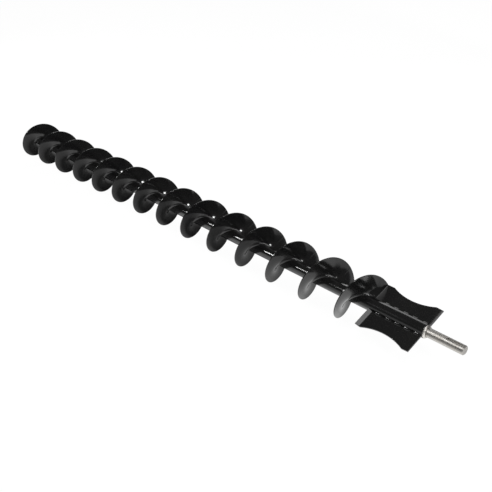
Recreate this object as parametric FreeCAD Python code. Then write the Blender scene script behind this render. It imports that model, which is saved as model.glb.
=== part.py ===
import FreeCAD, Part
import math
import os
from FreeCAD import Placement, Rotation, Vector

# Screw conveyor auger with a two-bladed discharge paddle and a keyed drive shaft.
# Millimetres. +X runs along the auger's axis to the free end of the drive shaft, +Z is up.
# The origin is on the axis, at the shoulder that the drive bearing seats against.

# Centre tube
tube_radius = 19.0
tube_wall = 3.0
tube_past_flights = 5.0

# Left-hand flighting: pressed sections of one turn each, butt welded end to end
flight_radius = 75.0
flight_thickness = 3.0
flight_rim_chamfer = 0.5
flight_pitch = 131.5
section_count = 14
section_angle = 360.0
flight_end_gap = 2.5

# Drive shaft: a seat inside the tube, a shoulder, then the journal with its keyway
journal_radius = 12.5
journal_length = 105.0
journal_chamfer = 1.5
shoulder_radius = 14.0
shoulder_length = 7.0
seat_length = 95.0
seat_chamfer = 2.0
key_width = 8.0
key_depth = 4.0
key_length = 50.0
key_angle = 110.0

# Hub at the far end, which takes a stub shaft held by one cross bolt
hub_length = 60.0
hub_bore_radius = 12.5
hub_bore_chamfer = 1.0
cross_hole_radius = 5.25
cross_hole_from_end = 30.0

# Discharge paddle: two blades on opposite sides of the tube
blade_angle = 24.4
blade_length = 173.0
blade_outer_radius = 74.5
blade_thickness = 4.0
blade_land = 21.0
blade_arc_depth = 14.0
outlet_lip_length = 20.0
outlet_lip_angle = 5.0
inlet_lip_length = 13.0
inlet_lip_angle = 22.0
inlet_lip_bend_from_inlet = 17.7
bend_radius = 8.0

# Weld beads
root_weld_leg = 4.5
root_weld_bulge = 0.6
root_stitch_angle = 55.0
root_stitches_per_section = 3
butt_bead_radius = 2.6
butt_bead_rim_gap = 1.0
butt_cover_angle = 20.0
blade_stitch_radius = 4.0
blade_stitch_length = 22.0
blade_stitch_count = 5
blade_stitch_first = 14.0
blade_stitch_spacing = 30.0
ring_weld_clearance = 0.8
ring_weld_crown_along = 4.34
ring_weld_crown_drop = 1.6
far_weld_height = 2.4
far_weld_inset = 0.6

# How far a cutter runs past the surface that it opens
cutter_overrun = 1.0

# Places along the axis, worked out from the shoulder
tube_bore_radius = tube_radius - tube_wall
tube_drive_x = -shoulder_length
blade_outlet_x = tube_drive_x
blade_inlet_x = blade_outlet_x - blade_length
flight_end_x = blade_inlet_x - flight_end_gap
section_length = flight_pitch * section_angle / 360.0
flight_start_x = flight_end_x - section_count * section_length
tube_far_x = flight_start_x - tube_past_flights

AXIS = Vector(1, 0, 0)
ORIGIN = Vector(0, 0, 0)
# Turns a solid built about local Z into one about X: local X to Y, Y to Z and Z to X.
ALONG_X = Placement(ORIGIN, Rotation(Vector(1, 1, 1), 120.0))


def turned(face):
    """Solid of revolution about X from a face in the half-plane above the axis."""
    return face.revolve(ORIGIN, AXIS, 360.0)


def polygon(points):
    """Closed planar face from a list of points."""
    return Part.Face(Part.makePolygon(points + [points[0]]))


def profile_points(pairs):
    """Points in the half-plane above the axis from (x, radius) pairs."""
    return [Vector(x, radius, 0) for x, radius in pairs]


def rod(radius, start_x, end_x):
    """Solid cylinder on the auger's axis."""
    return Part.makeCylinder(radius, end_x - start_x, Vector(start_x, 0, 0), AXIS)


def flight_angle(x):
    """Angle of the flight's mid-plane at x, from +Y towards +Z. It falls as x grows: left hand."""
    return blade_angle + 360.0 * (flight_end_x - x) / flight_pitch


def axial_half_thickness(radius):
    """Half the plate's thickness along the axis, which grows towards the root of the helix."""
    lead = flight_pitch / (2.0 * math.pi * radius)
    return 0.5 * flight_thickness * math.sqrt(1.0 + lead * lead)


def screw_solid(profile, angle):
    """Sweep a closed wire in the local XZ half-plane along a left-hand screw of this angle."""
    middle_radius = 0.5 * (tube_radius + flight_radius)
    height = flight_pitch * angle / 360.0
    helix = Part.makeLongHelix(flight_pitch, height, middle_radius, 0.0, True)
    return Part.Wire(helix.Edges).makePipeShell([profile], True, True)


def section_placement(index, extra_angle=0.0):
    """Where a part of section number index goes, started extra_angle further along its turn."""
    x = flight_start_x + index * section_length + flight_pitch * extra_angle / 360.0
    return Placement(Vector(x, 0, 0), Rotation(AXIS, flight_angle(x))) * ALONG_X


def placed(shape, placement):
    """Copy of a shape moved by a placement."""
    copy = shape.copy()
    copy.Placement = placement * copy.Placement
    return copy


def blade_frame(side):
    """Placement that turns the local Y axis to the blade on this side, 0 or 1."""
    return Placement(ORIGIN, Rotation(AXIS, blade_angle + 180.0 * side))


def centre_tube():
    """Plain steel tube with the cross holes for the far hub's bolt."""
    tube = rod(tube_radius, tube_far_x, tube_drive_x)
    tube = tube.cut(rod(tube_bore_radius, tube_far_x, tube_drive_x))
    return tube.cut(cross_hole())


def cross_hole():
    """Vertical drilling through the tube and the far hub."""
    reach = tube_radius + cutter_overrun
    base = Vector(tube_far_x + cross_hole_from_end, 0, -reach)
    return Part.makeCylinder(cross_hole_radius, 2.0 * reach, base, Vector(0, 0, 1))


def plate_face(side, rim_radius):
    """Line of a flight face from root to rim in the local XZ half-plane: an arc through three points."""
    middle_radius = 0.5 * (tube_radius + rim_radius)
    return Part.Arc(*[
        Vector(radius, 0, side * axial_half_thickness(radius))
        for radius in (tube_radius, middle_radius, rim_radius)
    ]).toShape()


def flight_profile():
    """Closed section of the flight plate, with small chamfers on both rim corners."""
    chamfer_radius = flight_radius - flight_rim_chamfer
    far_face = plate_face(-1, chamfer_radius)
    drive_face = plate_face(1, chamfer_radius)
    half_rim = axial_half_thickness(flight_radius) - flight_rim_chamfer
    corners = [
        far_face.Vertexes[-1].Point,
        Vector(flight_radius, 0, -half_rim),
        Vector(flight_radius, 0, half_rim),
        drive_face.Vertexes[-1].Point,
    ]
    rim = [Part.LineSegment(a, b).toShape() for a, b in zip(corners, corners[1:])]
    root = Part.LineSegment(drive_face.Vertexes[0].Point, far_face.Vertexes[0].Point).toShape()
    return Part.Wire(Part.__sortEdges__([far_face] + rim + [drive_face, root]))


def flight_section():
    """One pressed section of the helix."""
    return screw_solid(flight_profile(), section_angle)


def root_weld(angle, side):
    """Fillet bead between a flight face and the tube: side +1 faces the drive end, -1 the far end."""
    top_radius = tube_radius + root_weld_leg
    foot = axial_half_thickness(tube_radius)
    top = axial_half_thickness(top_radius)
    corner = Vector(tube_radius, 0, side * foot)
    toe = Vector(tube_radius, 0, side * (foot + root_weld_leg))
    head = Vector(top_radius, 0, side * top)
    out = 0.5 * root_weld_leg + root_weld_bulge
    crown = Vector(tube_radius + out, 0, side * (0.5 * (foot + top) + out))
    edges = [
        Part.LineSegment(corner, toe).toShape(),
        Part.Arc(toe, crown, head).toShape(),
        Part.LineSegment(head, corner).toShape(),
    ]
    return screw_solid(Part.Wire(edges), angle)


def drive_side_root_welds():
    """Continuous fillet on the drive side of every section."""
    bead = root_weld(section_angle, 1)
    return Part.makeCompound([placed(bead, section_placement(k)) for k in range(section_count)])


def far_side_root_welds():
    """Stitches on the far side of every section, evenly spaced round its turn."""
    stitch = root_weld(root_stitch_angle, -1)
    step = section_angle / root_stitches_per_section
    first = 0.5 * (step - root_stitch_angle)
    stitches = []
    for k in range(section_count):
        for number in range(root_stitches_per_section):
            stitches.append(placed(stitch, section_placement(k, first + number * step)))
    return Part.makeCompound(stitches)


def butt_welds():
    """Radial beads on both faces of the flight at each joint between two sections."""
    inner = tube_radius + root_weld_leg
    outer = flight_radius - butt_bead_rim_gap
    bead = Part.makeCylinder(butt_bead_radius, outer - inner, Vector(inner, 0, 0), AXIS)
    plate = screw_solid(flight_profile(), 2.0 * butt_cover_angle)
    plate.rotate(ORIGIN, Vector(0, 0, 1), butt_cover_angle)
    plate.translate(Vector(0, 0, -flight_pitch * butt_cover_angle / 360.0))
    bead = bead.cut(plate)
    return Part.makeCompound([placed(bead, section_placement(k)) for k in range(1, section_count)])


def left_normal(direction):
    """Direction turned a quarter turn to the left in the local XZ plane."""
    return Vector(-direction.z, 0, direction.x)


def bent_line(stations, offset):
    """Edges of a bent plate's surface, at this offset from the middle line through its stations."""
    runs = [(after - before).normalize() for before, after in zip(stations, stations[1:])]
    start = stations[0] + left_normal(runs[0]) * offset
    edges = []
    for corner, before, after in zip(stations[1:-1], runs, runs[1:]):
        turn = math.atan2(before.x * after.z - before.z * after.x, before.dot(after))
        side = math.copysign(1.0, turn)
        entry = corner - before * (bend_radius * math.tan(0.5 * abs(turn)))
        centre = entry + left_normal(before) * (side * bend_radius)
        arm = offset - side * bend_radius
        middle = (before + after).normalize()
        arc = [centre + left_normal(direction) * arm for direction in (before, middle, after)]
        edges.append(Part.LineSegment(start, arc[0]).toShape())
        edges.append(Part.Arc(*arc).toShape())
        start = arc[2]
    end = stations[-1] + left_normal(runs[-1]) * offset
    return edges + [Part.LineSegment(start, end).toShape()]


def bent_plate(stations):
    """Plate of blade thickness whose middle line follows (x, z) stations in the local XZ plane."""
    stations = [Vector(x, 0, z) for x, z in stations]
    half = 0.5 * blade_thickness
    top = bent_line(stations, half)
    bottom = bent_line(stations, -half)
    inlet = Part.LineSegment(bottom[0].Vertexes[0].Point, top[0].Vertexes[0].Point).toShape()
    outlet = Part.LineSegment(top[-1].Vertexes[-1].Point, bottom[-1].Vertexes[-1].Point).toShape()
    outline = Part.Wire(Part.__sortEdges__([inlet] + top + [outlet] + bottom))
    return Part.Face(outline).extrude(Vector(0, blade_outer_radius, 0))


def paddle_blade(side, inlet_station):
    """Blade on one side of the tube: both ends have a land, with a concave arc between them."""
    outlet_bend_x = blade_outlet_x - outlet_lip_length
    lip = math.radians(outlet_lip_angle)
    outlet_tip = (outlet_bend_x + outlet_lip_length * math.cos(lip), -outlet_lip_length * math.sin(lip))
    plate = bent_plate(inlet_station + [(outlet_bend_x, 0.0), outlet_tip])
    half_chord = 0.5 * blade_length - blade_land
    arc_radius = (half_chord ** 2 + blade_arc_depth ** 2) / (2.0 * blade_arc_depth)
    arc_centre_y = blade_outer_radius - blade_arc_depth + arc_radius
    middle_x = blade_outlet_x - 0.5 * blade_length
    reach = 0.5 * blade_thickness + cutter_overrun
    base = Vector(middle_x, arc_centre_y, -reach)
    plate = plate.cut(Part.makeCylinder(arc_radius, 2.0 * reach, base))
    plate = plate.cut(rod(tube_radius, blade_inlet_x - cutter_overrun, blade_outlet_x + cutter_overrun))
    return placed(plate, blade_frame(side))


def upper_blade():
    """Blade that the last flight runs into: its inlet end is flat."""
    return paddle_blade(0, [(blade_inlet_x, 0.0)])


def lower_blade():
    """Blade opposite the last flight: its free inlet end has a lip bent to the trailing side."""
    bend_x = blade_inlet_x + inlet_lip_bend_from_inlet
    lip = math.radians(inlet_lip_angle)
    tip = (bend_x - inlet_lip_length * math.cos(lip), -inlet_lip_length * math.sin(lip))
    return paddle_blade(1, [tip, (bend_x, 0.0)])


def blade_welds(side, blade):
    """Stitches along both faces of a blade's root."""
    stitches = []
    for face in (-1, 1):
        for number in range(blade_stitch_count):
            middle_x = blade_outlet_x - blade_stitch_first - number * blade_stitch_spacing
            stitch = placed(stitch_bead(middle_x, face), blade_frame(side)).cut(blade)
            stitches.append(stitch.cut(rod(tube_radius, blade_inlet_x, 0.0)))
    return Part.makeCompound(stitches)


def stitch_bead(middle_x, face):
    """Round-ended bead along X at the root of a blade, on the face towards local +Z or -Z only."""
    height = face * 0.5 * blade_thickness
    half = 0.5 * blade_stitch_length - blade_stitch_radius
    start = Vector(middle_x - half, tube_radius, height)
    end = Vector(middle_x + half, tube_radius, height)
    bead = Part.makeCylinder(blade_stitch_radius, 2.0 * half, start, AXIS)
    for centre in (start, end):
        bead = bead.fuse(Part.makeSphere(blade_stitch_radius, centre))
    size = 2.0 * blade_stitch_length
    other_side = Part.makeBox(size, size, size, Vector(-0.5 * size, -0.5 * size, -0.5 * size))
    other_side.translate(Vector(middle_x, tube_radius, -face * 0.5 * size))
    return bead.removeSplitter().cut(other_side)


def flight_end_weld(last_flight, blade):
    """Radial bead that joins the end of the last flight to the inlet edge of the upper blade."""
    inner = tube_radius + 0.5 * root_weld_leg
    length = blade_outer_radius - butt_bead_rim_gap - inner
    base = Vector(blade_inlet_x, inner, 0)
    bead = Part.makeCylinder(butt_bead_radius, length, base, Vector(0, 1, 0))
    return placed(bead, blade_frame(0)).cut(last_flight).cut(blade)


def drive_shaft():
    """Stub shaft: seat inside the tube, bearing shoulder, and the journal with an open keyway."""
    seat_start = tube_drive_x - seat_length
    outline = profile_points([
        (seat_start, 0.0),
        (seat_start, tube_bore_radius - seat_chamfer),
        (seat_start + seat_chamfer, tube_bore_radius),
        (tube_drive_x, tube_bore_radius),
        (tube_drive_x, shoulder_radius),
        (0.0, shoulder_radius),
        (0.0, journal_radius),
        (journal_length - journal_chamfer, journal_radius),
        (journal_length, journal_radius - journal_chamfer),
        (journal_length, 0.0),
    ])
    return turned(polygon(outline)).cut(keyway())


def keyway():
    """Cutter for a keyway that is open at the shaft's end and round at its inner end."""
    floor = journal_radius - key_depth
    height = key_depth + cutter_overrun
    centre = Vector(journal_length - key_length + 0.5 * key_width, floor, 0)
    corner = centre - Vector(0, 0, 0.5 * key_width)
    slot = Part.makeBox(key_length, height, key_width, corner)
    end = Part.makeCylinder(0.5 * key_width, height, centre, Vector(0, 1, 0))
    return placed(slot.fuse(end), Placement(ORIGIN, Rotation(AXIS, key_angle)))


def drive_end_weld():
    """Convex ring of weld that closes the tube's end onto the shaft's shoulder."""
    toe = Vector(tube_drive_x, tube_radius, 0)
    head = Vector(-ring_weld_clearance, shoulder_radius, 0)
    crown = toe + Vector(ring_weld_crown_along, -ring_weld_crown_drop, 0)
    corner = Vector(tube_drive_x, shoulder_radius, 0)
    edges = [
        Part.LineSegment(corner, toe).toShape(),
        Part.Arc(toe, crown, head).toShape(),
        Part.LineSegment(head, corner).toShape(),
    ]
    return turned(Part.Face(Part.Wire(edges)))


def far_end_hub():
    """Ring hub inside the far end of the tube, bored for a stub shaft and cross drilled."""
    inner_end_x = tube_far_x + hub_length
    outline = profile_points([
        (tube_far_x, hub_bore_radius + hub_bore_chamfer),
        (tube_far_x, tube_bore_radius),
        (inner_end_x, tube_bore_radius),
        (inner_end_x, hub_bore_radius),
        (tube_far_x + hub_bore_chamfer, hub_bore_radius),
    ])
    return turned(polygon(outline)).cut(cross_hole())


def far_end_weld():
    """Low ring of weld over the joint between the hub and the tube's far end."""
    inner = Vector(tube_far_x, hub_bore_radius + hub_bore_chamfer + far_weld_inset, 0)
    outer = Vector(tube_far_x, tube_radius - far_weld_inset, 0)
    crown = 0.5 * (inner + outer) + Vector(-far_weld_height, 0, 0)
    edges = [Part.Arc(inner, crown, outer).toShape(), Part.LineSegment(outer, inner).toShape()]
    return turned(Part.Face(Part.Wire(edges)))


def build():
    """Every sub-part by node name."""
    section = flight_section()
    nodes = {"centre_tube": centre_tube()}
    for k in range(section_count):
        nodes["flight_%02d" % (k + 1)] = placed(section, section_placement(k))
    nodes["flight_butt_welds"] = butt_welds()
    nodes["flight_root_welds_drive_side"] = drive_side_root_welds()
    nodes["flight_root_welds_far_side"] = far_side_root_welds()
    nodes["paddle_blade_upper"] = upper_blade()
    nodes["paddle_blade_lower"] = lower_blade()
    nodes["paddle_welds_upper"] = blade_welds(0, nodes["paddle_blade_upper"])
    nodes["paddle_welds_lower"] = blade_welds(1, nodes["paddle_blade_lower"])
    last_flight = nodes["flight_%02d" % section_count]
    nodes["flight_end_weld"] = flight_end_weld(last_flight, nodes["paddle_blade_upper"])
    nodes["drive_stub_shaft"] = drive_shaft()
    nodes["drive_end_weld_ring"] = drive_end_weld()
    nodes["far_end_hub"] = far_end_hub()
    nodes["far_end_weld_ring"] = far_end_weld()
    return nodes


os.makedirs("parts", exist_ok=True)
for name, shape in build().items():
    shape.exportStep("parts/%s.step" % name)
    box = shape.BoundBox
    print("%-30s solids %3d valid %s x %.1f..%.1f vol %.0f" % (
        name, len(shape.Solids), shape.isValid(), box.XMin, box.XMax, shape.Volume))
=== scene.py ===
import math
import bpy
import numpy as np
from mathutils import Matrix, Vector


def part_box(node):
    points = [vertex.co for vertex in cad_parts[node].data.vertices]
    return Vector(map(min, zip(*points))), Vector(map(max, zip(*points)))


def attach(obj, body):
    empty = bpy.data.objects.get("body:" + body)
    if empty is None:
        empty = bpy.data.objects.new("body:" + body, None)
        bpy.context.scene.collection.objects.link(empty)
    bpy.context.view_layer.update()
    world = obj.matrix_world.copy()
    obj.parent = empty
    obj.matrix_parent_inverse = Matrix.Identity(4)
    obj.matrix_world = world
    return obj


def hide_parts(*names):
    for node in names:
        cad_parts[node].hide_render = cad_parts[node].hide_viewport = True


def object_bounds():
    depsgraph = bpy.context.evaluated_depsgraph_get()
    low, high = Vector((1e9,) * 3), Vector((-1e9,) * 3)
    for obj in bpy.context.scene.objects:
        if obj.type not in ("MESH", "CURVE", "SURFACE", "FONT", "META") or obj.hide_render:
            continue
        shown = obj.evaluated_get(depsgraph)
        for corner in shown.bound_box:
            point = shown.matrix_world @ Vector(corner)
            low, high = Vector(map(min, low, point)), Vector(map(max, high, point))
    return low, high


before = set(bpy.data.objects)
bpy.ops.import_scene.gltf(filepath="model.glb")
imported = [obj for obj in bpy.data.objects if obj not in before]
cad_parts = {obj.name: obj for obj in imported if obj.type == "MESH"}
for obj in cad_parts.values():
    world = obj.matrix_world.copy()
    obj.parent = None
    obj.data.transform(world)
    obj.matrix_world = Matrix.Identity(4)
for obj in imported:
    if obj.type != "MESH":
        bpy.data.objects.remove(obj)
cad_low, cad_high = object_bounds()

# Metres and degrees, in the frame of the auger: +X runs along its axis to the free end of the drive shaft.

# Sizes of the CAD model that its boxes don't give
SECTION_COUNT = 14
SECTION_ANGLE = 360.0
FLIGHT_THICKNESS = 0.003
BLADE_ANGLE = 24.4
BLADE_OUTER_RADIUS = 0.0745
BLADE_THICKNESS = 0.004
BLADE_LAND = 0.021
BLADE_ARC_DEPTH = 0.014
BEND_RADIUS = 0.008
OUTLET_LIP_LENGTH = 0.020
OUTLET_LIP_ANGLE = 5.0
INLET_LIP_LENGTH = 0.013
INLET_LIP_ANGLE = 22.0
INLET_LIP_BEND_FROM_INLET = 0.0177
ROOT_WELD_LEG = 0.0045
ROOT_STITCH_ANGLE = 55.0
ROOT_STITCHES_PER_SECTION = 3
BLADE_STITCH_LENGTH = 0.022
BLADE_STITCH_COUNT = 5
BLADE_STITCH_FIRST = 0.014
BLADE_STITCH_SPACING = 0.030
SHOULDER_RADIUS = 0.014
HUB_BORE_RADIUS = 0.0125
TUBE_WALL = 0.003
JOURNAL_RADIUS = 0.0125
JOURNAL_CHAMFER = 0.0015
KEY_WIDTH = 0.008
KEY_DEPTH = 0.004
KEY_LENGTH = 0.050
KEY_ANGLE = 110.0

# Places and sizes read from the frame
TUBE_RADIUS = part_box("centre_tube")[1].z
TUBE_DRIVE_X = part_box("centre_tube")[1].x
TUBE_FAR_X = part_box("centre_tube")[0].x
FLIGHT_RADIUS = max(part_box("flight_02")[1].z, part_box("flight_02")[1].y)
SECTION_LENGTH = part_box("flight_02")[0].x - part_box("flight_01")[0].x
PITCH = SECTION_LENGTH * 360.0 / SECTION_ANGLE
BLADE_OUTLET_X = TUBE_DRIVE_X
BLADE_INLET_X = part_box("paddle_blade_upper")[0].x
SEAT_START_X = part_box("drive_stub_shaft")[0].x
JOURNAL_END_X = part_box("drive_stub_shaft")[1].x

# Finer detail that the CAD model leaves out
RIM_ROUNDING = 0.0006
PLATE_ROUNDING = 0.0005
RIPPLE_PITCH = 0.0024
RIPPLE_HEIGHT = 0.00028
SINK = 0.0002
TUBE_EDGE_BREAK = 0.0004
BEAD_STEP = RIPPLE_PITCH / 6.0
BUTT_BEAD_WIDTH = 0.0040
BUTT_BEAD_HEIGHT = 0.00012
BUTT_BEAD_RIM_GAP = 0.0012
END_BEAD_WIDTH = 0.0044
END_BEAD_HEIGHT = 0.0007
ROOT_BEAD_BULGE = 0.0005
BLADE_BEAD_LEG = 0.0046
BLADE_BEAD_BULGE = 0.0006
BLADE_STITCH_JITTER = 0.0012
RING_TOE_DROP = 0.0006
BALL_SIDES = 8
BLADE_BALLS = 70
ROOT_BALLS = 150
ROUND_STEPS = 240

# Angle in radians between the keyway's edge and the round part of the shaft's section
KEY_LAND_ANGLE = 0.004
SHARP_ANGLE = math.radians(38.0)

# Camera
CAMERA_PLACE = (0.87666, -1.39208, 1.03811)
CAMERA_AZIMUTH = 47.9975
CAMERA_ELEVATION = 26.815
CAMERA_LENS = 56.07
SENSOR_WIDTH = 36.0

# Studio: half width of the paper, brightness of the light painted on it, of the backdrop and of the room
FLOOR_Z = cad_low.z
FLOOR_REACH = 14.0
PAPER_REACH = 2.2
PAPER_DROP = 0.0005
PAPER_GLOW = 1.05
BACKDROP_GLOW = 1.2
AMBIENT = 0.09
MIDDLE = Vector((-1.0, 0.0, 0.0))

# Colours, linear
WHITE = (1.0, 1.0, 1.0, 1.0)
BLACK_DEEP = (0.0062, 0.0062, 0.0065)
BLACK_PALE = (0.0092, 0.0091, 0.0089)
DUST = (0.16, 0.15, 0.135)
# Grey of rubbed edges, which also stands in for a painted edge sheen
RUBBED_AND_SHEEN = (0.10, 0.095, 0.09)
SHAFT_STEEL = (0.315, 0.305, 0.288)
HUB_STEEL = (0.46, 0.45, 0.43)
BROWN_STAIN = (0.36, 0.31, 0.255)
WELD_DARK = (0.40, 0.385, 0.36)
WELD_LIGHT = (0.55, 0.535, 0.51)
STRAW_TINT = (0.42, 0.33, 0.20)
BLUE_TINT = (0.24, 0.26, 0.31)
OVERSPRAY = (0.012, 0.012, 0.012)

SEED = 7


def half_thickness(radius):
    """Half the flight's thickness measured along the axis, which grows towards the root."""
    lead = PITCH / (2.0 * math.pi * radius)
    return 0.5 * FLIGHT_THICKNESS * np.sqrt(1.0 + lead * lead)


FLIGHT_END_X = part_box("flight_%02d" % SECTION_COUNT)[1].x - half_thickness(TUBE_RADIUS)


# ---------------------------------------------------------------- meshes

def piece(name, vertices, faces, material, slot=None, replaces=()):
    """New smooth mesh object that rides on the auger's one body."""
    mesh = bpy.data.meshes.new(name)
    mesh.from_pydata([tuple(v) for v in vertices], [], faces)
    mesh.validate()
    mesh.shade_smooth()
    mesh.set_sharp_from_angle(angle=SHARP_ANGLE)
    mesh.materials.append(material)
    obj = bpy.data.objects.new(name, mesh)
    bpy.context.scene.collection.objects.link(obj)
    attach(obj, "root")
    if replaces:
        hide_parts(*replaces)
    return obj


def skin(rings, closed=False, first=0):
    """Vertices and faces of a tube through rings of points, capped unless it closes on itself."""
    count, size, _ = rings.shape
    faces = []
    for i in range(count if closed else count - 1):
        here, there = first + i * size, first + ((i + 1) % count) * size
        for j in range(size):
            k = (j + 1) % size
            faces.append((here + j, here + k, there + k, there + j))
    if not closed:
        faces.append(tuple(first + j for j in reversed(range(size))))
        faces.append(tuple(first + (count - 1) * size + j for j in range(size)))
    return rings.reshape(-1, 3), faces


def skins(groups, closed=False):
    """Vertices and faces of several such tubes in one mesh."""
    vertices, faces = [], []
    for rings in groups:
        more, quads = skin(rings, closed, sum(len(v) for v in vertices))
        vertices.append(more)
        faces.extend(quads)
    return np.concatenate(vertices), faces


def sines(generator, positions, wavelength, count=4):
    """A smooth random line, roughly from -1 to 1: a few sines of random phase."""
    total = np.zeros_like(positions)
    for n in range(count):
        turns = positions / (wavelength * (1.0 + 0.7 * n)) + generator.random()
        total += np.sin(2.0 * math.pi * turns)
    return total / count


def on_screw(turn, radius, offset):
    """Points beside the screw's middle surface, at an angle in degrees and an offset along the axis."""
    turn, radius, offset = np.broadcast_arrays(turn, radius, offset)
    x = FLIGHT_END_X - (turn - BLADE_ANGLE) / 360.0 * PITCH + offset
    angle = np.radians(turn)
    return np.stack([x, radius * np.cos(angle), radius * np.sin(angle)], axis=-1)


def round_axis(angle, x, radius):
    """Points at an angle in radians round the auger's axis, a place along it and a distance from it."""
    angle, x, radius = np.broadcast_arrays(angle, x, radius)
    return np.stack([x, radius * np.cos(angle), radius * np.sin(angle)], axis=-1)


def on_blade(side, x, radius, height):
    """Points by a blade's place along the axis, its distance from the axis and above its middle plane."""
    x, radius, height = np.broadcast_arrays(x, radius, height)
    angle = math.radians(BLADE_ANGLE + 180.0 * side)
    y = radius * math.cos(angle) - height * math.sin(angle)
    z = radius * math.sin(angle) + height * math.cos(angle)
    return np.stack([x, y, z], axis=-1)


def rounded_edge(half, rounding, steps=4):
    """Inset and height of points round a plate's edge, from its lower face to its upper one."""
    angles = np.linspace(0.0, math.pi / 2.0, steps + 1)
    inset = rounding * (1.0 - np.sin(angles))
    height = half - rounding + rounding * np.cos(angles)
    return np.concatenate([inset, inset[::-1]]), np.concatenate([-height, height[::-1]])


# ---------------------------------------------------------------- flights

def flight(number, material):
    """One pressed section: a helical plate with rounded rims and the slight waves of its pressing."""
    generator = np.random.default_rng(SEED + number)
    start = BLADE_ANGLE + (SECTION_COUNT - number + 1) * SECTION_ANGLE
    along = np.linspace(0.0, 1.0, 241)
    turn = start - along * SECTION_ANGLE
    ends = np.sin(math.pi * along)
    face_radii = np.concatenate([
        np.linspace(TUBE_RADIUS - SINK, FLIGHT_RADIUS - 0.004, 13),
        [FLIGHT_RADIUS - 0.002, FLIGHT_RADIUS - 2.0 * RIM_ROUNDING],
    ])
    inset, height = rounded_edge(half_thickness(FLIGHT_RADIUS), RIM_ROUNDING)
    radii = np.concatenate([face_radii, FLIGHT_RADIUS - inset, face_radii[::-1]])
    offsets = np.concatenate([-half_thickness(face_radii), height, half_thickness(face_radii)[::-1]])
    reach = np.clip((radii - TUBE_RADIUS) / (FLIGHT_RADIUS - TUBE_RADIUS), 0.0, 1.0)
    wave = 0.00045 * sines(generator, along, 0.9) + 0.00022 * sines(generator, along, 0.31)
    buckle = 0.00016 * sines(generator, along, 0.17)
    lift = (wave * ends)[:, None] * reach ** 1.5 + (buckle * ends)[:, None] * np.sin(math.pi * reach)
    shrink = 0.00018 * (1.0 + sines(generator, along, 0.27)) * ends
    radii = radii[None, :] - shrink[:, None] * reach ** 4
    rings = on_screw(turn[:, None], radii, offsets[None, :] + lift)
    name = "flight_%02d" % number
    vertices, faces = skin(rings)
    return piece(name + "_plate", vertices, faces, material, "flight_paint", [name])


# ---------------------------------------------------------------- weld beads

def bead(generator, place, stations, lengths, corner, toe, head, bulge, closed=False, taper=0.007):
    """Rings of a rippled fillet bead. Corner, toe and head are points of its section, which place maps
    into space at each station. Lengths run along the bead. Its ends shrink over taper unless it is closed."""
    corner, toe, head = (np.array(p, float) for p in (corner, toe, head))
    chord = head - toe
    out = np.array([-chord[1], chord[0]]) / np.linalg.norm(chord)
    if np.dot(out, 0.5 * (toe + head) - corner) < 0.0:
        out = -out
    total = lengths[-1]
    if closed:
        size = np.ones_like(lengths)
        phase = lengths / total * round(total / RIPPLE_PITCH)
        wander = np.zeros_like(lengths)
    else:
        nearest = np.minimum(lengths, total - lengths)
        size = np.sqrt(1.0 - (1.0 - np.clip(nearest / taper, 0.01, 1.0)) ** 2)
        phase = lengths / RIPPLE_PITCH + 0.35 * sines(generator, lengths, 0.03)
        wander = 0.10 * sines(generator, lengths, 0.019)
    share = np.linspace(0.0, 1.0, 9)
    arch = 4.0 * share * (1.0 - share)
    ripple = np.abs(np.sin(math.pi * (phase[:, None] - 0.55 * arch[None, :]))) ** 0.8 - 0.5
    rise = (bulge + RIPPLE_HEIGHT * ripple) * (0.25 + 0.75 * arch[None, :])
    points = toe + chord * share[:, None]
    points = points[None] + out[None, None] * (rise * arch[None, :] ** 0.5)[..., None]
    scale = (size * (1.0 + wander))[:, None, None]
    points = corner + (points - corner) * scale
    sunk = np.broadcast_to(corner - SINK * out, (len(lengths), 1, 2))
    points = np.concatenate([points, sunk], axis=1)
    return place(stations[:, None], points[..., 0], points[..., 1])


def screw_bead(generator, start, angle, side):
    """Root bead between the flight and the tube over an angle of the screw, on its +X or -X side."""
    arc = math.hypot(2.0 * math.pi * TUBE_RADIUS, PITCH) / 360.0
    lengths = np.arange(0.0, angle * arc, BEAD_STEP)
    stations = start - lengths / arc
    foot = half_thickness(TUBE_RADIUS)
    top = half_thickness(TUBE_RADIUS + ROOT_WELD_LEG)
    return bead(
        generator, lambda turn, offset, radius: on_screw(turn, radius, offset), stations, lengths,
        (side * foot, TUBE_RADIUS), (side * (foot + ROOT_WELD_LEG), TUBE_RADIUS),
        (side * top, TUBE_RADIUS + ROOT_WELD_LEG), ROOT_BEAD_BULGE,
    )


def root_welds(material):
    """Continuous bead on the drive side of the flighting, stitches on the far side."""
    generator = np.random.default_rng(SEED + 100)
    begin = BLADE_ANGLE + SECTION_COUNT * SECTION_ANGLE
    runs = [screw_bead(generator, begin - k * SECTION_ANGLE, SECTION_ANGLE, 1) for k in range(SECTION_COUNT)]
    piece("root_bead_drive_side", *skins(runs), material, "weld_paint", ["flight_root_welds_drive_side"])
    step = SECTION_ANGLE / ROOT_STITCHES_PER_SECTION
    first = 0.5 * (step - ROOT_STITCH_ANGLE)
    runs = []
    for k in range(SECTION_COUNT):
        for n in range(ROOT_STITCHES_PER_SECTION):
            start = begin - k * SECTION_ANGLE - first - n * step
            runs.append(screw_bead(generator, start, ROOT_STITCH_ANGLE, -1))
    piece("root_stitches_far_side", *skins(runs), material, "weld_paint", ["flight_root_welds_far_side"])


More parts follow.
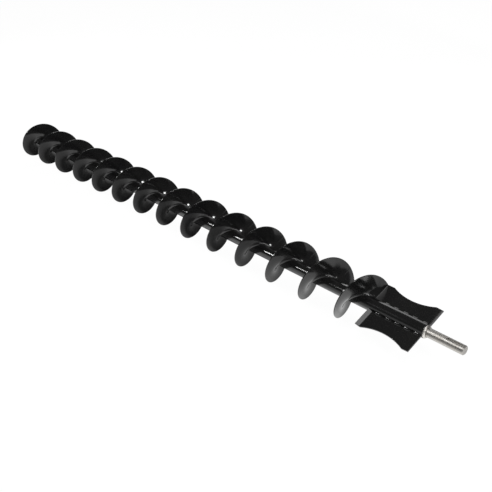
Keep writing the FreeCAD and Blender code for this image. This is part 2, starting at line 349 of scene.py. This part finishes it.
def flat_bead(generator, place, start, end, width, height):
    """Rings of a low bead that lies on a face, along a line from start to end."""
    lengths = np.arange(0.0, end - start, BEAD_STEP)
    nearest = np.minimum(lengths, lengths[-1] - lengths)
    size = np.sqrt(np.clip(nearest / width, 0.02, 1.0))
    across = np.linspace(-1.0, 1.0, 9)
    arch = 1.0 - across ** 2
    phase = lengths / RIPPLE_PITCH + 0.3 * sines(generator, lengths, 0.02)
    ripple = np.abs(np.sin(math.pi * (phase[:, None] - 0.5 * arch[None, :]))) - 0.5
    rise = height * arch[None, :] * (1.0 + 0.25 * ripple) * size[:, None]
    half = 0.5 * width * size * (1.0 + 0.08 * sines(generator, lengths, 0.015))
    sideways = half[:, None] * across[None, :]
    low = np.full_like(rise[:, :1], -SINK)
    sideways = np.concatenate([sideways, 0.5 * half[:, None], -0.5 * half[:, None]], axis=1)
    rise = np.concatenate([rise - 0.5 * SINK * (1.0 - arch), low, low], axis=1)
    return place((start + lengths)[:, None], sideways, rise)


def butt_welds(material):
    """Low radial beads on both faces of every joint between two sections, dressed almost flush."""
    generator = np.random.default_rng(SEED + 200)
    runs = []
    for k in range(1, SECTION_COUNT):
        turn = BLADE_ANGLE + k * SECTION_ANGLE
        for side in (-1, 1):
            def place(radius, sideways, rise, turn=turn, side=side):
                angle = turn + side * np.degrees(sideways / radius)
                return on_screw(angle, radius, side * (half_thickness(radius) + rise))
            inner, outer = TUBE_RADIUS + ROOT_WELD_LEG, FLIGHT_RADIUS - BUTT_BEAD_RIM_GAP
            runs.append(flat_bead(generator, place, inner, outer, BUTT_BEAD_WIDTH, BUTT_BEAD_HEIGHT))
    piece("butt_beads", *skins(runs), material, "weld_paint", ["flight_butt_welds"])


def blade_welds(side, material):
    """Rippled stitches along both faces of one blade's root."""
    generator = np.random.default_rng(SEED + 300 + side)
    name = ("upper", "lower")[side]
    half = 0.5 * BLADE_THICKNESS
    leg = BLADE_BEAD_LEG
    lengths = np.arange(0.0, BLADE_STITCH_LENGTH, BEAD_STEP)
    runs = []
    for face in (-1, 1):
        for n in range(BLADE_STITCH_COUNT):
            middle = BLADE_OUTLET_X - BLADE_STITCH_FIRST - n * BLADE_STITCH_SPACING
            middle += generator.uniform(-BLADE_STITCH_JITTER, BLADE_STITCH_JITTER)
            stations = middle - 0.5 * BLADE_STITCH_LENGTH + lengths
            foot = math.sqrt(TUBE_RADIUS ** 2 - (half + leg) ** 2)
            corner = (face * half, math.sqrt(TUBE_RADIUS ** 2 - half ** 2))
            runs.append(bead(
                generator, lambda x, height, radius: on_blade(side, x, radius, height), stations, lengths,
                corner, (face * (half + leg), foot), (face * half, corner[1] + leg), BLADE_BEAD_BULGE,
            ))
    piece("paddle_beads_" + name, *skins(runs), material, "weld_paint", ["paddle_welds_" + name])


def flight_end_weld(material):
    """Bead up the joint between the last flight's end and the upper blade's inlet edge."""
    generator = np.random.default_rng(SEED + 400)
    runs = []
    for face in (-1, 1):
        def place(radius, sideways, rise, face=face):
            x = BLADE_INLET_X - 0.0012 + sideways
            return on_blade(0, x, radius, face * (0.5 * BLADE_THICKNESS - 0.0004 + rise))
        start, end = TUBE_RADIUS + 0.0005, BLADE_OUTER_RADIUS - 0.001
        runs.append(flat_bead(generator, place, start, end, END_BEAD_WIDTH, END_BEAD_HEIGHT))
    piece("flight_end_bead", *skins(runs), material, "weld_paint", ["flight_end_weld"])


def ring_weld(name, node, corner, toe, head, bulge, material, slot):
    """Rippled bead right round the axis, from a section in (x, radius)."""
    generator = np.random.default_rng(SEED + 500)
    angles = np.linspace(0.0, 2.0 * math.pi, 264, endpoint=False)
    lengths = toe[1] * angles
    rings = bead(generator, round_axis, angles, lengths, corner, toe, head, bulge, closed=True)
    vertices, faces = skin(rings, closed=True)
    return piece(name, vertices, faces, material, slot, [node])


# ---------------------------------------------------------------- tube and shaft

def tube(material):
    """The centre tube, with its sharp end corners broken."""
    inner, edge = TUBE_RADIUS - TUBE_WALL, TUBE_EDGE_BREAK
    far, drive = TUBE_FAR_X, TUBE_DRIVE_X
    profile = np.array([
        (far + edge, TUBE_RADIUS), (drive - edge, TUBE_RADIUS), (drive, TUBE_RADIUS - edge),
        (drive, inner), (far, inner), (far, TUBE_RADIUS - edge),
    ])
    angles = np.linspace(0.0, 2.0 * math.pi, ROUND_STEPS, endpoint=False)
    vertices, faces = skin(round_axis(angles[:, None], profile[None, :, 0], profile[None, :, 1]), closed=True)
    piece("centre_tube_turned", vertices, faces, material, "tube_paint", ["centre_tube"])


def shaft_section(x, radius, half_width):
    """One cross-section of the shaft, with the keyway cut in it where it has a width."""
    full = math.asin(0.5 * KEY_WIDTH / radius) + KEY_LAND_ANGLE
    arc = np.linspace(full, 2.0 * math.pi - full, 161)
    if half_width is None:
        gap = np.linspace(-full, full, 19)[1:-1]
        along, across = radius * np.cos(gap), radius * np.sin(gap)
    else:
        edge = math.asin(half_width / radius)
        land = np.linspace(-full, -edge, 5)[1:-1]
        top, floor = radius * math.cos(edge), JOURNAL_RADIUS - KEY_DEPTH
        wall = np.linspace(top, floor, 4)[:-1]
        bottom = np.linspace(-half_width, half_width, 5)
        along = np.concatenate([
            radius * np.cos(land), wall, np.full_like(bottom, floor),
            wall[::-1], radius * np.cos(land[::-1])])
        across = np.concatenate([
            radius * np.sin(land), np.full_like(wall, -half_width), bottom, np.full_like(wall, half_width),
            -radius * np.sin(land[::-1])])
    along = np.concatenate([radius * np.cos(arc), along])
    across = np.concatenate([radius * np.sin(arc), across])
    angle = math.radians(KEY_ANGLE)
    y = along * math.cos(angle) - across * math.sin(angle)
    z = along * math.sin(angle) + across * math.cos(angle)
    return np.stack([np.full_like(y, x), y, z], axis=-1)


def drive_shaft(material):
    """Stub shaft: seat inside the tube, shoulder, and journal with an open keyway and a chamfered end."""
    seat = TUBE_RADIUS - TUBE_WALL
    stations = [(SEAT_START_X, seat, None), (TUBE_DRIVE_X, seat, None), (TUBE_DRIVE_X, SHOULDER_RADIUS, None),
                (0.0, SHOULDER_RADIUS, None), (0.0, JOURNAL_RADIUS, None)]
    half = 0.5 * KEY_WIDTH
    middle = JOURNAL_END_X - KEY_LENGTH + half
    stations.append((middle - half - 0.00002, JOURNAL_RADIUS, None))
    for turn in np.radians(np.linspace(5.0, 90.0, 12)):
        stations.append((middle - half * math.cos(turn), JOURNAL_RADIUS, half * math.sin(turn)))
    stations.append((JOURNAL_END_X - JOURNAL_CHAMFER, JOURNAL_RADIUS, half))
    stations.append((JOURNAL_END_X, JOURNAL_RADIUS - JOURNAL_CHAMFER, half))
    vertices, faces = skin(np.array([shaft_section(*station) for station in stations]))
    piece("drive_shaft_turned", vertices, faces, material, "turned_steel", ["drive_stub_shaft"])


# ---------------------------------------------------------------- paddle blades

def bent_line(start, step, bend, angle, length):
    """Points (x, height, heading) from a flat start to a bend of this angle and on to a straight end."""
    turn = math.radians(angle)
    setback = BEND_RADIUS * math.tan(0.5 * turn)
    points = [(x, 0.0, 0.0) for x in np.linspace(start, bend - step * setback, 12)]
    x, height = points[-1][:2]
    for heading in np.linspace(0.0, turn, 9)[1:]:
        middle = 0.5 * (heading + abs(points[-1][2]))
        arc = BEND_RADIUS * turn / 8.0
        x += step * arc * math.cos(middle)
        height -= arc * math.sin(middle)
        points.append((x, height, -step * heading))
    for share in (0.5, 1.0):
        run = share * (length - setback)
        points.append((x + step * run * math.cos(turn), height - run * math.sin(turn), -step * turn))
    return points


def outer_radius(x):
    """Distance of a blade's outer edge from the axis: a land at each end and a hollow arc between."""
    length = BLADE_OUTLET_X - BLADE_INLET_X
    half_chord = 0.5 * length - BLADE_LAND
    radius = (half_chord ** 2 + BLADE_ARC_DEPTH ** 2) / (2.0 * BLADE_ARC_DEPTH)
    off = abs(x - (BLADE_OUTLET_X - 0.5 * length))
    if off >= half_chord:
        return BLADE_OUTER_RADIUS
    return BLADE_OUTER_RADIUS - BLADE_ARC_DEPTH + radius - math.sqrt(radius ** 2 - off ** 2)


def blade_line(side):
    """Middle line of a blade from its inlet to its outlet, with points close together at its corners."""
    corners = [BLADE_INLET_X + BLADE_LAND, BLADE_OUTLET_X - BLADE_LAND]
    outlet = bent_line(corners[1], 1, BLADE_OUTLET_X - OUTLET_LIP_LENGTH, OUTLET_LIP_ANGLE, OUTLET_LIP_LENGTH)
    if side:
        bend = BLADE_INLET_X + INLET_LIP_BEND_FROM_INLET
        inlet = bent_line(corners[0], -1, bend, INLET_LIP_ANGLE, INLET_LIP_LENGTH)[::-1]
    else:
        inlet = [(x, 0.0, 0.0) for x in np.linspace(BLADE_INLET_X, corners[0], 9)]
    middle = [(x, 0.0, 0.0) for x in np.linspace(corners[0], corners[1], 42)[1:-1]]
    return inlet + middle + outlet


def blade(side, material):
    """Flat plate with bent lips, a hollow outer edge and slightly rounded edges all round."""
    half = 0.5 * BLADE_THICKNESS
    line = blade_line(side)
    inset, height = rounded_edge(half, PLATE_ROUNDING)
    end_inset, end_height = inset[:5], -height[:5]
    stations = []
    first, last = line[0], line[-1]
    for gap, thickness in zip(end_inset[::-1], end_height[::-1]):
        stations.append((first, gap, thickness))
    stations += [(point, 0.0, half) for point in line[1:-1]]
    for gap, thickness in zip(end_inset, end_height):
        stations.append((last, -gap, thickness))
    rings = []
    for (x, z, heading), gap, thickness in stations:
        x += gap * math.cos(heading)
        z += gap * math.sin(heading)
        root = math.sqrt(TUBE_RADIUS ** 2 - (half + abs(z)) ** 2) - SINK
        tip = outer_radius(x)
        shares = np.concatenate([np.linspace(0.0, 0.96, 12), [0.985]])
        radii = root + (tip - PLATE_ROUNDING - root) * shares
        lows = np.full_like(radii, -thickness)
        edge_height = np.clip(height, -thickness, thickness)
        ring_radius = np.concatenate([radii, tip - inset, radii[::-1]])
        ring_height = np.concatenate([lows, edge_height, -lows])
        rings.append(on_blade(
            side, x - ring_height * math.sin(heading), ring_radius, z + ring_height * math.cos(heading)))
    name = ("upper", "lower")[side]
    vertices, faces = skin(np.array(rings))
    obj = piece("paddle_plate_" + name, vertices, faces, material, "paddle_paint", ["paddle_blade_" + name])
    return obj


# ---------------------------------------------------------------- spatter

def add_ball(vertices, faces, centre, normal, radius):
    """One flattened ball that sits in a surface with this normal."""
    normal = Vector(normal).normalized()
    side = normal.orthogonal().normalized()
    other = normal.cross(side)
    first = len(vertices)
    upper, lower, bottom = first + 1, first + 1 + BALL_SIDES, first + 1 + 2 * BALL_SIDES
    vertices.append(centre + normal * radius * 0.7)
    for level in (0.5, 0.95):
        for step in range(BALL_SIDES):
            angle = 2.0 * math.pi * step / BALL_SIDES
            ring = side * math.cos(angle) + other * math.sin(angle)
            rise = math.cos(level * math.pi / 2.0)
            out = ring * radius * math.sin(level * math.pi / 2.0)
            vertices.append(centre + out + normal * radius * 0.7 * rise)
    vertices.append(centre - normal * radius * 0.4)
    for step in range(BALL_SIDES):
        after = (step + 1) % BALL_SIDES
        faces.append((first, upper + step, upper + after))
        faces.append((upper + step, lower + step, lower + after, upper + after))
        faces.append((bottom, lower + after, lower + step))


def spatter(material):
    """Small painted-over balls of weld spatter, near the blades' roots and along the flighting's root."""
    generator = np.random.default_rng(SEED + 600)
    vertices, faces = [], []
    for _ in range(BLADE_BALLS):
        side = int(generator.integers(0, 2))
        face = generator.choice([-1.0, 1.0])
        x = generator.uniform(BLADE_INLET_X + 0.02, BLADE_OUTLET_X - 0.01)
        radius = TUBE_RADIUS + 0.005 + abs(generator.normal(0.0, 0.006))
        place = on_blade(side, x, radius, face * 0.5 * BLADE_THICKNESS)
        normal = on_blade(side, 0.0, 0.0, face)
        add_ball(vertices, faces, Vector(place), normal, generator.uniform(0.0003, 0.0008))
    for _ in range(ROOT_BALLS):
        turn = BLADE_ANGLE + generator.uniform(0.0, SECTION_COUNT * SECTION_ANGLE)
        offset = half_thickness(TUBE_RADIUS) + ROOT_WELD_LEG + abs(generator.normal(0.002, 0.007))
        place = on_screw(turn, TUBE_RADIUS, offset)
        angle = math.radians(turn)
        normal = (0.0, math.cos(angle), math.sin(angle))
        add_ball(vertices, faces, Vector(place), normal, generator.uniform(0.0003, 0.0007))
    piece("weld_spatter", vertices, faces, material, "weld_paint")


# ---------------------------------------------------------------- materials

class Shader:
    """A material's node tree, with short ways to add and join nodes."""

    def __init__(self, name):
        self.material = bpy.data.materials.new(name)
        self.material.use_nodes = True
        self.tree = self.material.node_tree
        self.surface = self.tree.nodes["Principled BSDF"]
        self.place = self.add("ShaderNodeTexCoord").outputs["Object"]

    def add(self, kind, **values):
        node = self.tree.nodes.new(kind)
        for key, value in values.items():
            setattr(node, key, value)
        return node

    def link(self, source, target):
        self.tree.links.new(source, target)

    def feed(self, node, socket, value):
        """Sets an input to a number or colour, or joins it to another node's output."""
        if isinstance(value, bpy.types.NodeSocket):
            self.link(value, node.inputs[socket])
        else:
            node.inputs[socket].default_value = value

    def noise(self, scale, detail=2.0, roughness=0.5, place=None):
        node = self.add("ShaderNodeTexNoise")
        self.link(place or self.place, node.inputs["Vector"])
        node.inputs["Scale"].default_value = scale
        node.inputs["Detail"].default_value = detail
        node.inputs["Roughness"].default_value = roughness
        return node.outputs["Fac"]

    def stretch(self, x, y, z):
        """Object coordinates scaled on each axis."""
        node = self.add("ShaderNodeMapping")
        self.link(self.place, node.inputs["Vector"])
        node.inputs["Scale"].default_value = (x, y, z)
        return node.outputs["Vector"]

    def between(self, value, low, high, start=0.0, end=1.0):
        """Maps a value from low..high to start..end, clamped."""
        node = self.add("ShaderNodeMapRange")
        self.feed(node, "Value", value)
        for socket, number in (("From Min", low), ("From Max", high), ("To Min", start), ("To Max", end)):
            node.inputs[socket].default_value = number
        return node.outputs["Result"]

    def math(self, operation, a, b=0.0):
        node = self.add("ShaderNodeMath", operation=operation)
        self.feed(node, 0, a)
        self.feed(node, 1, b)
        return node.outputs[0]

    def mix(self, share, a, b):
        """Colour between a and b."""
        node = self.add("ShaderNodeMix", data_type="RGBA")
        self.feed(node, "Factor", share)
        for socket, value in ((6, a), (7, b)):
            if isinstance(value, bpy.types.NodeSocket):
                self.link(value, node.inputs[socket])
            else:
                node.inputs[socket].default_value = (*value, 1.0)
        return node.outputs[2]

    def bump(self, height, distance, strength=1.0, normal=None):
        node = self.add("ShaderNodeBump")
        self.link(height, node.inputs["Height"])
        node.inputs["Distance"].default_value = distance
        node.inputs["Strength"].default_value = strength
        if normal is not None:
            self.link(normal, node.inputs["Normal"])
        return node.outputs["Normal"]

    def position(self, axis):
        node = self.add("ShaderNodeSeparateXYZ")
        self.link(self.place, node.inputs[0])
        return node.outputs[axis]


def black_paint(name, peel, wear_and_sheen, gloss):
    """Gloss black enamel: orange peel, uneven gloss, a trace of dust on top, and edges lightened partly by
    rubbed paint and partly by a painted sheen.
    """
    s = Shader(name)
    cloud = s.noise(9.0, 4.0, 0.6)
    fine = s.noise(420.0, 3.0, 0.55)
    geometry = s.add("ShaderNodeNewGeometry")
    up = s.add("ShaderNodeSeparateXYZ")
    s.link(geometry.outputs["Normal"], up.inputs[0])
    dust = s.math("MULTIPLY", s.between(up.outputs["Z"], 0.2, 1.0), s.between(fine, 0.52, 0.75))
    tone = s.mix(s.between(cloud, 0.35, 0.65), BLACK_DEEP, BLACK_PALE)
    tone = s.mix(s.math("MULTIPLY", dust, 0.10), tone, DUST)
    # Edges lighter by pointiness: partly rubbed paint, partly a painted sheen on the rounded edges
    edge = s.between(geometry.outputs["Pointiness"], 0.56, 0.66)
    worn_and_sheen = s.math("MULTIPLY", edge, s.between(s.noise(60.0, 4.0, 0.65), 0.56, 0.70))
    worn_and_sheen = s.math("MULTIPLY", worn_and_sheen, wear_and_sheen)
    s.link(s.mix(worn_and_sheen, tone, RUBBED_AND_SHEEN), s.surface.inputs["Base Color"])
    rough = s.between(s.noise(26.0, 3.0, 0.6), 0.3, 0.7, gloss, gloss + 0.06)
    rough = s.math("ADD", rough, s.math("MULTIPLY", worn_and_sheen, 0.25))
    rough = s.math("ADD", rough, s.math("MULTIPLY", dust, 0.08))
    s.link(rough, s.surface.inputs["Roughness"])
    skin_waves = s.bump(s.noise(520.0, 1.0, 0.4), 0.00003 * peel, 0.6)
    s.link(s.bump(s.noise(70.0, 1.0, 0.4), 0.0003 * peel, 0.12, skin_waves), s.surface.inputs["Normal"])
    s.surface.inputs["IOR"].default_value = 1.5
    return s.material


def turned_steel(name, tone, gloss):
    """Bare steel from the lathe: fine rings round the axis, faint stains and finger marks."""
    s = Shader(name)
    rings = s.noise(1.0, 3.0, 0.7, s.stretch(5200.0, 25.0, 25.0))
    bands = s.noise(1.0, 2.0, 0.5, s.stretch(420.0, 6.0, 6.0))
    stain = s.noise(38.0, 3.0, 0.5)
    dark = tuple(0.90 * c for c in tone)
    color = s.mix(s.between(rings, 0.3, 0.7), dark, tone)
    color = s.mix(s.math("MULTIPLY", s.between(stain, 0.55, 0.78), 0.25), color, BROWN_STAIN)
    s.link(color, s.surface.inputs["Base Color"])
    rough = s.between(bands, 0.3, 0.7, gloss, gloss + 0.03)
    rough = s.math("ADD", rough, s.between(stain, 0.5, 0.8, 0.0, 0.10))
    s.link(rough, s.surface.inputs["Roughness"])
    s.surface.inputs["Metallic"].default_value = 1.0
    s.surface.inputs["Anisotropic"].default_value = 0.35
    s.surface.inputs["Anisotropic Rotation"].default_value = 0.25
    tangent = s.add("ShaderNodeTangent", direction_type="RADIAL", axis="X")
    s.link(tangent.outputs["Tangent"], s.surface.inputs["Tangent"])
    s.link(s.bump(rings, 0.000003, 0.25), s.surface.inputs["Normal"])
    return s.material


def bare_weld(name):
    """Unpainted bead: grey steel with straw and blue heat tints, and black overspray by the tube."""
    s = Shader(name)
    x = s.position("X")
    cloud = s.noise(160.0, 4.0, 0.6)
    fine = s.noise(900.0, 3.0, 0.6)
    color = s.mix(s.between(fine, 0.3, 0.7), WELD_DARK, WELD_LIGHT)
    color = s.mix(s.between(cloud, 0.55, 0.72, 0.0, 0.5), color, STRAW_TINT)
    color = s.mix(s.between(cloud, 0.44, 0.30, 0.0, 0.35), color, BLUE_TINT)
    ragged = s.math("ADD", x, s.math("MULTIPLY", s.noise(300.0, 3.0, 0.6), -0.0022))
    spray = s.between(ragged, TUBE_DRIVE_X + 0.0016, TUBE_DRIVE_X + 0.0004)
    s.link(s.mix(spray, color, OVERSPRAY), s.surface.inputs["Base Color"])
    s.link(s.math("SUBTRACT", 1.0, spray), s.surface.inputs["Metallic"])
    s.link(s.between(cloud, 0.3, 0.7, 0.30, 0.46), s.surface.inputs["Roughness"])
    s.link(s.bump(fine, 0.00008, 0.6), s.surface.inputs["Normal"])
    return s.material


# ---------------------------------------------------------------- studio

def add_object(name, data):
    obj = bpy.data.objects.new(name, data)
    bpy.context.scene.collection.objects.link(obj)
    return obj


def plain(name, color, emission=0.0):
    s = Shader(name)
    s.surface.inputs["Base Color"].default_value = (color, color, color, 1.0)
    s.surface.inputs["Roughness"].default_value = 1.0
    s.surface.inputs["Specular IOR Level"].default_value = 0.0
    s.surface.inputs["Emission Color"].default_value = WHITE
    s.surface.inputs["Emission Strength"].default_value = emission
    return s.material


def quad(name, corners, material):
    """Flat sheet. Its glow is left to the reflections that meet it, which keeps the lamps' light clean."""
    mesh = bpy.data.meshes.new(name)
    mesh.from_pydata(corners, [], [(0, 1, 2, 3)])
    mesh.materials.append(material)
    material.cycles.emission_sampling = "NONE"
    obj = add_object(name, mesh)
    return obj


def paper_material():
    """White paper that also glows with painted light where the studio would light it, each patch given by a
    mask; its dimmer parts under and behind the auger are painted shadow.
    """
    s = Shader("paper_white")
    s.surface.inputs["Base Color"].default_value = (0.35, 0.35, 0.35, 1.0)
    s.surface.inputs["Roughness"].default_value = 1.0
    s.surface.inputs["Specular IOR Level"].default_value = 0.0
    x, y = s.position("X"), s.position("Y")
    reach = s.math("SUBTRACT", y, s.math("MULTIPLY", x, 0.22))
    # Painted pool of light in front of the auger, dimmer far in front of it and towards the drive end
    front = s.math("MULTIPLY", s.between(y, 0.0, -0.05), s.between(reach, -0.30, -0.14, 0.3, 1.0))
    front = s.math("MULTIPLY", s.between(x, -0.75, -0.25, 1.0, 0.5), front)
    # Painted light round the drive end, dimmer behind the auger as painted shadow, and dimmer far in front of
    # it
    end = s.math("MULTIPLY", s.between(x, -0.80, -0.10), s.between(y, 0.30, 0.08, 0.55, 1.0))
    end = s.math("MULTIPLY", s.between(y, -0.11, -0.05, 0.4, 1.0), end)
    # Painted light in a narrow strip at the auger's foot near the drive end
    foot = s.math("MULTIPLY", s.between(y, 0.0, -0.03), s.between(y, -0.12, -0.07, 0.0, 0.7))
    foot = s.math("MULTIPLY", s.between(x, -0.70, -0.20), foot)
    # Painted light behind the far half of the auger
    back = s.math("MULTIPLY", s.between(x, -0.85, -1.15), s.between(y, 0.10, 0.24, 0.0, 0.8))
    glow = s.math("ADD", s.math("MAXIMUM", s.math("MAXIMUM", front, end), back), foot)
    glow = s.math("MULTIPLY", glow, PAPER_GLOW)
    s.surface.inputs["Emission Color"].default_value = WHITE
    s.link(glow, s.surface.inputs["Emission Strength"])
    return s.material


def studio():
    """White floor for the camera, a white paper floor that the gloss reflects, and a backdrop card."""
    size = FLOOR_REACH
    corners = [(-size, -size, FLOOR_Z), (size, -size, FLOOR_Z), (size, size, FLOOR_Z), (-size, size, FLOOR_Z)]
    floor = quad("floor", corners, plain("floor_white", 0.05, 0.97))
    floor.visible_glossy = False
    floor.visible_diffuse = False
    floor.visible_shadow = False
    low = FLOOR_Z - PAPER_DROP
    corners = [(-PAPER_REACH - 1.0, -PAPER_REACH, low), (PAPER_REACH, -PAPER_REACH, low),
               (PAPER_REACH, PAPER_REACH, low), (-PAPER_REACH - 1.0, PAPER_REACH, low)]
    paper = quad("paper", corners, paper_material())
    paper.visible_camera = False
    left, right, top = Vector((-4.2, 0.6, low)), Vector((-1.2, 3.0, low)), Vector((0.0, 0.0, 2.6))
    corners = [left, right, right + top, left + top]
    card = quad("backdrop", corners, plain("backdrop_white", 0.3, BACKDROP_GLOW))
    card.visible_camera = False


def lamp(name, azimuth, elevation, distance, size, radiance, target=MIDDLE):
    """Soft lamp seen from the target in this direction, with its size in degrees. A mirror would show
    it as bright as its radiance."""
    a, e = math.radians(azimuth), math.radians(elevation)
    direction = Vector((math.sin(a) * math.cos(e), math.cos(a) * math.cos(e), math.sin(e)))
    data = bpy.data.lights.new(name, "AREA")
    data.shape = "ELLIPSE"
    data.size, data.size_y = (2.0 * distance * math.tan(math.radians(0.5 * angle)) for angle in size)
    data.energy = radiance * math.pi * data.size * data.size_y
    obj = add_object(name, data)
    obj.location = target + direction * distance
    obj.visible_camera = False
    obj.rotation_euler = (-direction).to_track_quat("-Z", "Y").to_euler()
    return obj


def lights():
    """Overhead softbox above the drive end, small bright lamps either side of the camera, one behind."""
    lamp("overhead", 90.0, 76.0, 2.4, (45.0, 37.0), 2.6, Vector((-0.3, 0.0, 0.0)))
    lamp("key", 106.0, 33.0, 40.0, (14.0, 12.0), 26.0)
    lamp("front_left", -132.5, 28.5, 40.0, (9.5, 5.0), 46.0)
    bare = bpy.data.collections.new("bare_steel")
    for name in ("drive_shaft_turned", "drive_end_bead"):
        bare.objects.link(bpy.data.objects[name])
    shaft_light = lamp("shaft_light", -138.0, 48.0, 0.8, (30.0, 30.0), 4.3, Vector((0.05, 0.0, 0.0)))
    shaft_light.light_linking.receiver_collection = bare
    lamp("back_left", -32.0, 38.0, 2.6, (25.0, 18.0), 1.8)
    world = bpy.data.worlds.new("world")
    bpy.context.scene.world = world
    world.use_nodes = True
    tree = world.node_tree
    background = tree.nodes["Background"]
    path = tree.nodes.new("ShaderNodeLightPath")
    strength = tree.nodes.new("ShaderNodeMapRange")
    tree.links.new(path.outputs["Is Camera Ray"], strength.inputs["Value"])
    strength.inputs["To Min"].default_value = AMBIENT
    strength.inputs["To Max"].default_value = 1.0
    background.inputs["Color"].default_value = WHITE
    tree.links.new(strength.outputs["Result"], background.inputs["Strength"])


def camera():
    data = bpy.data.cameras.new("camera")
    data.lens = CAMERA_LENS
    data.sensor_width = SENSOR_WIDTH
    data.clip_end = 100.0
    obj = add_object("camera", data)
    obj.rotation_euler = (math.radians(90.0 - CAMERA_ELEVATION), 0.0, math.radians(CAMERA_AZIMUTH))
    obj.location = CAMERA_PLACE
    bpy.context.scene.camera = obj


# ---------------------------------------------------------------- the auger

flight_black = black_paint("flight_black", 1.0, 0.5, 0.09)
tube_black = black_paint("tube_black", 0.8, 0.3, 0.10)
paddle_black = black_paint("paddle_black", 0.8, 0.6, 0.10)
weld_black = black_paint("weld_black", 1.6, 0.2, 0.13)
steel = turned_steel("turned_steel", SHAFT_STEEL, 0.38)
hub_steel = turned_steel("hub_steel", HUB_STEEL, 0.32)
weld_steel = bare_weld("bare_weld")

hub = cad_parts["far_end_hub"]
hub.data.materials.clear()
hub.data.materials.append(hub_steel)

tube(tube_black)
drive_shaft(steel)

for number in range(1, SECTION_COUNT + 1):
    flight(number, flight_black)
root_welds(weld_black)
butt_welds(weld_black)
for side in (0, 1):
    blade(side, paddle_black)
    blade_welds(side, weld_black)
flight_end_weld(weld_black)
spatter(weld_black)
ring_weld("drive_end_bead", "drive_end_weld_ring",
          (TUBE_DRIVE_X, SHOULDER_RADIUS), (TUBE_DRIVE_X, TUBE_RADIUS - RING_TOE_DROP),
          (-0.0008, SHOULDER_RADIUS), 0.0010, weld_steel, "bare_weld")
ring_weld("far_end_bead", "far_end_weld_ring",
          (TUBE_FAR_X + 0.0005, 0.5 * (TUBE_RADIUS + HUB_BORE_RADIUS)),
          (TUBE_FAR_X, TUBE_RADIUS - RING_TOE_DROP), (TUBE_FAR_X, HUB_BORE_RADIUS + 0.0016), 0.0016, weld_black, "weld_paint")

studio()
lights()
camera()
bpy.context.scene.view_settings.view_transform = "Standard"
